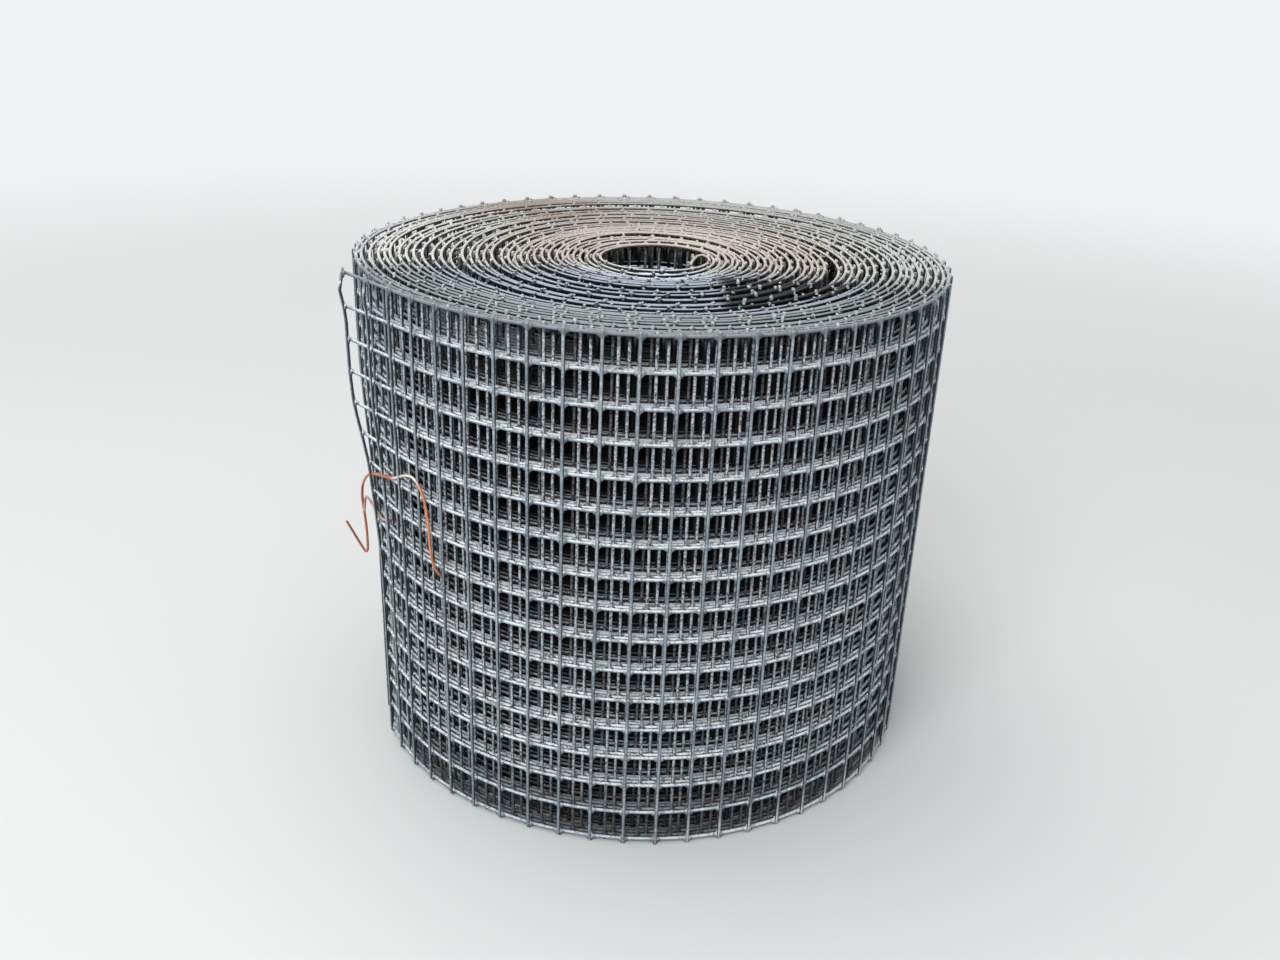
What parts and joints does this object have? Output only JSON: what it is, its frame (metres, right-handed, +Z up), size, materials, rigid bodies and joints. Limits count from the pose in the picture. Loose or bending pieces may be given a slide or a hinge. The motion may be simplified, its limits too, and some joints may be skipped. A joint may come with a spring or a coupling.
{
  "type": "roll of bird mesh",
  "caption": "Black coated welded wire mesh wound into a short roll that stands on its end, with an open bore and a copper tie wire.",
  "frame": {"origin": "on the axis of the bore, at the lower end of the roll", "axes": "+Z up along the bore; -Y is the side the picture is taken from; the tie wire and the free corner are on the -X side"},
  "size_m": [0.2463, 0.2388, 0.207],
  "materials": {
    "coated_wire": "weathered black PVC coating, dusty and grey where it faces up",
    "copper_wire": "bare copper, bright on the outer bends and tarnished brown in places"
  },
  "bodies": {
    "root": {"mesh_roll": "coated_wire", "tie_wire": "copper_wire"}
  },
  "joints": []
}
